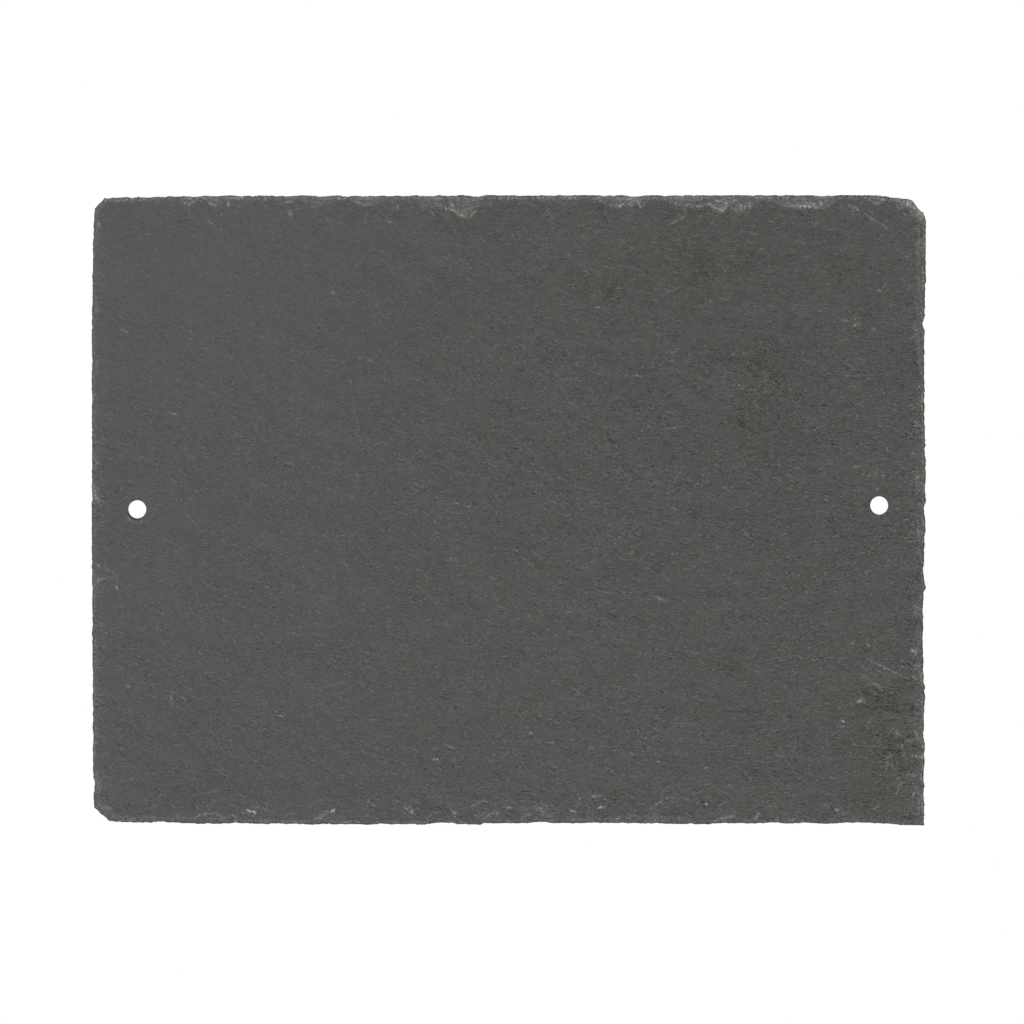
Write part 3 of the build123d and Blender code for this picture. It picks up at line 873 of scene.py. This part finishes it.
FLOOR_COLOUR = (0.8, 0.8, 0.79)
BASE_COLOUR = (0.083, 0.083, 0.079)
OLIVE_SHIFT = (-0.001, 0.0, -0.007)
BLUE_SHIFT = (-0.002, -0.002, 0.007)
PURPLE_SHIFT = (0.0035, -0.0007, 0.003)
BROWN_SHIFT = (0.004, -0.001, -0.004)

# Where the stone, and the light painted on it, change over the face, from one place across or up
# it to another: over the whole width, over all but its right end, in the upper and lower parts,
# and in the strips beside the left, right and top edges
WIDTH = (-150.0, 150.0)
MOST_OF_WIDTH = (-150.0, 120.0)
UPPER_PART = (10.0, 90.0)
LOWER_PART = (-90.0, -20.0)
LEFT_STRIP = (-149.0, -142.0)
RIGHT_STRIP = (140.0, 147.0)
TOP_STRIP = (104.0, 110.0)

# The slope of the grain in degrees at the left and at the right, and how squeezed the layers that
# show on the broken walls are, for their faint bands and for their sheets
SLOPES = (20.0, 8.0)
STRATA_SQUEEZE = (0.08, 3.2, 0.08)
SHEET_SQUEEZE = (0.06, 2.2, 0.06)

# The stone's patterns: (ground that it is drawn on, how many times as long as it is wide down the
# slope, size, detail, roughness, seed). One without a length runs all ways alike.
PATTERNS = {
    "fine": ("plain", None, 0.35, 1.0, 0.6, 0.0),
    "mottle": ("bent", 3.6, 1.4, 3.0, 0.6, 2.0),
    "cloud": ("plain", 3.0, 7.0, 3.0, 0.55, 5.0),
    "strands": ("wavy", 4.2, 0.95, 1.0, 0.5, 21.0),
    "breaks": ("wavy", 2.4, 1.3, 1.0, 0.5, 22.0),
    "flecks": ("wavy", 4.0, 0.5, 0.0, 0.5, 7.0),
    "sparkles": ("plain", None, 0.7, 0.0, 0.5, 8.0),
    "broad clumps": ("plain", 2.0, 11.0, 2.0, 0.5, 15.0),
    "small clumps": ("plain", 1.3, 3.0, 1.0, 0.5, 33.0),
    "pits": ("wavy", 2.6, 2.2, 2.0, 0.5, 25.0),
    "bruises": ("plain", None, 0.8, 2.0, 0.65, 19.0),
    "lumps": ("plain", None, 6.0, 2.0, 0.5, 29.0),
    "crushed": ("plain", None, 0.6, 2.0, 0.6, 9.0),
    "strata": ("strata", None, 1.0, 2.0, 0.5, 27.0),
    "sheets": ("sheets", None, 1.0, 3.0, 0.6, 41.0),
    "blobs": ("plain", None, 0.55, 1.0, 0.5, 31.0),
    "worn": ("wavy", None, 2.0, 3.0, 0.6, 17.0),
    "spots": ("plain", None, 3.0, 2.0, 0.5, 11.0),
    "veins": ("plain", None, 2.5, 3.0, 0.5, 12.0),
    "haze": ("plain", None, 7.0, 2.0, 0.5, 13.0),
}

# The waves that bend the grounds, and how far they carry them
WAVE_SIZE = 4.0
WAVE_DETAIL = 3.0
BENT_BY = 1.0
WAVY_BY = 2.4

# The streaks are a pattern too. A copy lifted this far is taken from them to paint the light and
# shade of their relief as a lamp from above would give it, so that their lights stand a little
# above their darks
STREAK_LENGTH = 1.55
STREAK = {"size": 0.6, "detail": 2.0, "roughness": 0.6}
PAINTED_RELIEF_LIFT = (0.0, 0.0, 0.34)

# The stone's surface: its sheen, the height of its bumps, and how dark it may get beside its colour
ROUGHNESS = 0.72
SPECULAR = 0.25
BUMP_HEIGHT = 0.17
DARKEST = 0.25


def new_material(name):
    """An empty node material, its wiring, and its shader."""
    material = bpy.data.materials.new(name)
    material.use_nodes = True
    material.node_tree.nodes.clear()
    wire = Wiring(material.node_tree)
    shader = wire.add("ShaderNodeBsdfPrincipled")
    output = wire.add("ShaderNodeOutputMaterial")
    wire.feed(output.inputs["Surface"], shader.outputs[0])
    return material, wire, shader


def object_place(wire):
    """The place on the object in millimetres."""
    return wire.vector("SCALE", wire.add("ShaderNodeTexCoord").outputs["Object"], 1 / MM)


def slate():
    """Grey riven slate: fine mottled grain with short streaks that run down to the right, steeper
    at the left, with crushed lighter stone where it is freshly broken. Light and shade are painted
    into its colour as well: the streaks' relief as if lit from above, glints and shadows at the
    chips, a dark line along the outline, and light falling off from the left to the right."""
    material, wire, shader = new_material("slate")
    place = object_place(wire)
    parts = wire.parts(place)
    across = parts["X"]
    up = parts["Z"]
    waves = wire.add("ShaderNodeTexNoise", noise_dimensions="3D")
    wire.feed(waves.inputs["Vector"], place)
    waves.inputs["Scale"].default_value = 1 / WAVE_SIZE
    waves.inputs["Detail"].default_value = WAVE_DETAIL
    wave = waves.outputs["Color"]
    grounds = {
        "plain": place,
        "bent": wire.vector("ADD", place, wire.vector("SCALE", wave, BENT_BY)),
        "wavy": wire.vector("ADD", place, wire.vector("SCALE", wave, WAVY_BY)),
        "strata": wire.vector("MULTIPLY", place, STRATA_SQUEEZE),
        "sheets": wire.vector("MULTIPLY", place, SHEET_SQUEEZE),
    }

    def fact(name):
        return wire.add("ShaderNodeAttribute", attribute_name=name).outputs["Fac"]

    def centred(value, amount):
        return wire.product(wire.math("SUBTRACT", value, 0.5), amount)

    def drifting(ends, first, last):
        """A value that changes evenly across the face."""
        return wire.ramp(across, *ends, first, last, "LINEAR")

    slope = drifting(WIDTH, *SLOPES)

    def pattern(name):
        ground, length, *measures = PATTERNS[name]
        where = grounds[ground]
        if length:
            where = wire.turned(where, slope, length)
        return wire.noise(where, *measures)

    def line_of(value, width, on_line, off_line):
        """One value where a pattern crosses its middle, and another away from there."""
        off_middle = wire.math("ABSOLUTE", wire.math("SUBTRACT", value, 0.5))
        return wire.ramp(off_middle, 0.0, width, on_line, off_line)

    upward = wire.ramp(up, *UPPER_PART)
    low = wire.ramp(up, *LOWER_PART, 1.0, 0.0)
    left = wire.ramp(across, *LEFT_STRIP, 1.0, 0.0)
    right = wire.ramp(across, *RIGHT_STRIP)
    upper = wire.ramp(up, *TOP_STRIP)
    wall = fact("wall")

    # The grain, sharp and soft, with the light and shade of its relief painted in
    along = wire.turned(grounds["wavy"], slope, STREAK_LENGTH)
    streaks = wire.noise(along, **STREAK)
    below = wire.noise(wire.vector("ADD", along, PAINTED_RELIEF_LIFT), **STREAK)
    # Painted light and shade of the grain's relief: lit above, shaded below
    painted_relief_shading = wire.math("SUBTRACT", streaks, below)
    breaks = wire.ramp(pattern("breaks"), 0.45, 0.62)
    wisps = wire.product(breaks, line_of(pattern("strands"), 0.05, 1.0, 0.0))
    flecks = wire.ramp(pattern("flecks"), 0.66, 0.8)
    sparkles = wire.ramp(pattern("sparkles"), 0.82, 0.88)
    clumps = wire.product(wire.ramp(pattern("broad clumps"), 0.35, 0.65, 0.88, 1.12),
                          wire.ramp(pattern("small clumps"), 0.35, 0.65, 0.62, 1.38))
    fineness = wire.total(drifting(MOST_OF_WIDTH, 0.8, 1.0), wire.product(upward, -0.4),
                          wire.product(low, 0.05))
    sharpness = wire.total(drifting(MOST_OF_WIDTH, 0.8, 1.07), wire.product(upward, -0.25),
                           wire.product(low, 0.1))
    sharp = wire.total(centred(streaks, 1.15), wire.product(painted_relief_shading, 0.6), wire.product(wisps, 0.42),
                       wire.product(flecks, 0.5), wire.product(sparkles, 1.5), -0.065)
    sharp = wire.total(wire.product(centred(pattern("fine"), 1.1), fineness),
                       wire.product(sharp, sharpness))
    pits = wire.ramp(pattern("pits"), 0.27, 0.42, -0.1, 0.0)
    pitting = wire.ramp(across, -120.0, 80.0, 0.3, 1.0)
    mottle = pattern("mottle")
    soft = wire.total(centred(mottle, 0.17), centred(pattern("cloud"), 0.26),
                      wire.product(pits, pitting))
    contrast = drifting(WIDTH, 0.9, 1.15)
    grain = wire.total(wire.product(sharp, clumps), wire.product(soft, contrast), 0.065)
    grain = wire.product(grain, wire.total(
        1.0, wire.product(fact("dark"), 2.4), wire.product(fact("rough"), 0.7),
        wire.product(left, 0.5), wire.product(right, 0.5), wire.product(wall, -0.4)))

    # The bruised verge of the face, with painted shade along its outline, and painted light that
    # falls off from the brighter left of the face to its right
    off = wire.math("SUBTRACT", VERGE, fact("verge"))
    verge_end = wire.total(off, wire.product(upper, -0.25))
    band = wire.product(wire.ramp(off, 0.3, 0.8), wire.ramp(verge_end, 1.0, 1.8, 1.0, 0.0))
    bruised = wire.ramp(pattern("bruises"), 0.44, 0.62)
    lumps = wire.ramp(pattern("lumps"), 0.35, 0.65, 0.5, 1.6)
    to_front = wire.ramp(fact("facing"), -0.5, 0.2, 0.3, 1.0)
    by_side = wire.total(1.0, wire.product(upper, 0.35), wire.product(right, 0.3),
                         wire.product(left, -0.45))
    bruise = wire.product(band, bruised, lumps, to_front, by_side)
    # Painted shade: a dark line along the outermost part of the verge, where the broken edge falls
    # away from the light, less on the walls
    outermost = wire.ramp(off, 0.3, 0.7, 1.0, 0.0)
    shade = wire.product(outermost, wire.ramp(bruised, 0.0, 1.0, -0.42, -0.05),
                         wire.ramp(wall, 0.0, 1.0, 1.0, 0.4))
    # Painted light: the face is lighter at the left and darker to the right, and lighter again in
    # the strip beside the left edge
    drift = wire.total(drifting(WIDTH, 1.035, 0.97), bruise, shade, wire.product(left, 0.07))

    # Fresh breaks: crushed stone in the scars and on their rims, layers on the walls
    crushed = wire.ramp(pattern("crushed"), 0.48, 0.7)
    struck = wire.ramp(fact("reach"), 1.2, 4.0, 0.25, 1.0)
    powder = wire.product(struck, wire.total(0.1, wire.product(crushed, 1.1)))
    fresh = wire.product(fact("broken"),
                         wire.total(0.08, centred(pattern("strata"), 0.9), powder))
    sheets = pattern("sheets")
    seams = line_of(sheets, 0.04, -0.45, 0.0)
    layered = wire.product(wall, wire.total(centred(sheets, 1.3), seams, 0.2))
    chipped = wire.product(fact("rim"), struck, crushed)

    # Marks and dark patches, broken up by the stone. The marks are partly lighter crushed stone and
    # partly painted glints, and some are painted shadows beside the chips.
    blobs = wire.ramp(pattern("blobs"), 0.4, 0.62, 0.1, 2.0)
    marks = wire.product(fact("mark"), blobs)
    worn = wire.ramp(pattern("worn"), 0.35, 0.65, -1.8, -0.2)
    tone = wire.total(drift, grain, fresh, layered, chipped, marks,
                      wire.product(fact("dark"), worn), wire.product(fact("rough"), 0.03))
    tone = wire.math("MAXIMUM", tone, DARKEST)

    # Tints: olive in patches and to the right, a blue haze to the left, purple along the top
    spots = wire.ramp(pattern("spots"), 0.6, 0.7)
    veins = wire.ramp(pattern("veins"), 0.3, 0.6, 0.5, 1.0)
    outer = wire.ramp(off, 0.9, 1.7, 1.0, 0.0)
    spotting = wire.ramp(across, -120.0, 100.0, 0.0, 1.3)
    olive = wire.total(wire.product(fact("olive"), veins), wire.product(outer, right, veins, 0.75),
                       wire.product(spotting, spots))
    haze = wire.ramp(pattern("haze"), 0.5, 0.72)
    plain_side = wire.math("SUBTRACT", 1.0, wire.math("MAXIMUM", right, upper))
    blue = wire.total(wire.product(haze, wire.ramp(across, -150.0, 40.0, 0.3, 0.0)),
                      wire.product(outer, plain_side, 0.35), wire.product(left, 0.15))
    purple = wire.product(outer, upper, veins, 1.5)
    tints = [(OLIVE_SHIFT, olive), (BLUE_SHIFT, blue), (PURPLE_SHIFT, purple),
             (BROWN_SHIFT, fact("brown"))]
    colour = BASE_COLOUR
    for shift, amount in tints:
        colour = wire.vector("ADD", colour, wire.vector("SCALE", shift, amount))
    wire.feed(shader.inputs["Base Color"], wire.vector("SCALE", colour, tone))
    shader.inputs["Roughness"].default_value = ROUGHNESS
    shader.inputs["Specular IOR Level"].default_value = SPECULAR
    bump = wire.add("ShaderNodeBump")
    bump.inputs["Strength"].default_value = 1.0
    bump.inputs["Distance"].default_value = BUMP_HEIGHT * MM
    wire.feed(bump.inputs["Height"], wire.total(
        streaks, mottle, wire.product(fact("mark"), 0.4), wire.product(wall, sheets, 2.0)))
    wire.feed(shader.inputs["Normal"], bump.outputs[0])
    return material


def pale_floor():
    """A plain pale studio floor with a faint mottle."""
    material, wire, shader = new_material("studio_floor")
    mottle = wire.noise(object_place(wire), 180.0, detail=3.0)
    tone = wire.ramp(mottle, 0.0, 1.0, 0.97, 1.03)
    wire.feed(shader.inputs["Base Color"], wire.vector("SCALE", FLOOR_COLOUR, tone))
    shader.inputs["Roughness"].default_value = 0.8
    return material


# The slab, whose edges are sharp where faces meet at more than this angle

SHARP_DEGREES = 50.0


def placed(name, data):
    """A new object in the scene."""
    thing = bpy.data.objects.new(name, data)
    bpy.context.scene.collection.objects.link(thing)
    return thing


def house_sign():
    """The whole sign, which replaces the CAD slab."""
    piece = placed(NODE + "_riven", slab_mesh())
    riven(piece, slate())
    piece.data.shade_smooth()
    piece.data.set_sharp_from_angle(angle=math.radians(SHARP_DEGREES))
    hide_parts(NODE)
    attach(piece, "root")


# The studio

CAMERA_DISTANCE = 6000.0
SENSOR = 36.0
VIEW_DEPTH_METRES = 100.0
FLOOR_DROP = 600.0
FLOOR_SIZE = 8000.0
WORLD_LEVEL = 0.66

# The lamps' places and size in metres, and their power
LAMPS = {"key_light": (-0.5, -2.0, 1.9), "back_light": (0.7, 2.0, 1.8)}
LAMP_SIZE = 1.4
LAMP_POWER = 26.0


def add_camera():
    """A long lens square to the face, framed as the picture is."""
    data = bpy.data.cameras.new("camera")
    data.sensor_width = SENSOR
    data.lens = SENSOR * CAMERA_DISTANCE / (PICTURE_PX * PIXEL)
    data.clip_end = VIEW_DEPTH_METRES
    camera = placed("camera", data)
    x, z = on_slab((PICTURE_PX - 1) / 2, (PICTURE_PX - 1) / 2)
    middle_depth = (cad_box[0][1] + cad_box[1][1]) / 2 / MM
    camera.location = Vector((x, middle_depth - CAMERA_DISTANCE, z)) * MM
    camera.rotation_euler = (math.pi / 2, 0, 0)
    bpy.context.scene.camera = camera


def add_lamps():
    """Square lamps that point at the sign."""
    for name, place in LAMPS.items():
        data = bpy.data.lights.new(name, "AREA")
        data.size = LAMP_SIZE
        data.energy = LAMP_POWER
        lamp = placed(name, data)
        lamp.location = place
        lamp.rotation_euler = (-Vector(place)).to_track_quat("-Z", "Y").to_euler()


def add_world():
    """Even light of a plain level, which the camera and reflections see as white."""
    world = bpy.data.worlds.new("studio")
    bpy.context.scene.world = world
    world.use_nodes = True
    world.node_tree.nodes.clear()
    wire = Wiring(world.node_tree)
    path = wire.add("ShaderNodeLightPath").outputs
    mirrored = wire.math("MAXIMUM", path["Is Glossy Ray"], path["Is Transmission Ray"])
    seen = wire.math("MAXIMUM", path["Is Camera Ray"], mirrored)
    background = wire.add("ShaderNodeBackground")
    background.inputs["Color"].default_value = (1.0, 1.0, 1.0, 1.0)
    wire.feed(background.inputs["Strength"], wire.ramp(seen, 0.0, 1.0, WORLD_LEVEL, 1.0, "LINEAR"))
    output = wire.add("ShaderNodeOutputWorld")
    wire.feed(output.inputs["Surface"], background.outputs[0])


def add_floor():
    """A pale floor well below the sign, which hangs above it."""
    half = FLOOR_SIZE / 2
    corners = [(-half, -half), (half, -half), (half, half), (-half, half)]
    mesh = bpy.data.meshes.new("floor")
    mesh.from_pydata([(x * MM, y * MM, -FLOOR_DROP * MM) for x, y in corners], [], [(0, 1, 2, 3)])
    mesh.materials.append(pale_floor())
    floor = placed("floor", mesh)


house_sign()
add_camera()
add_world()
add_lamps()
add_floor()
bpy.context.scene.view_settings.view_transform = "Standard"
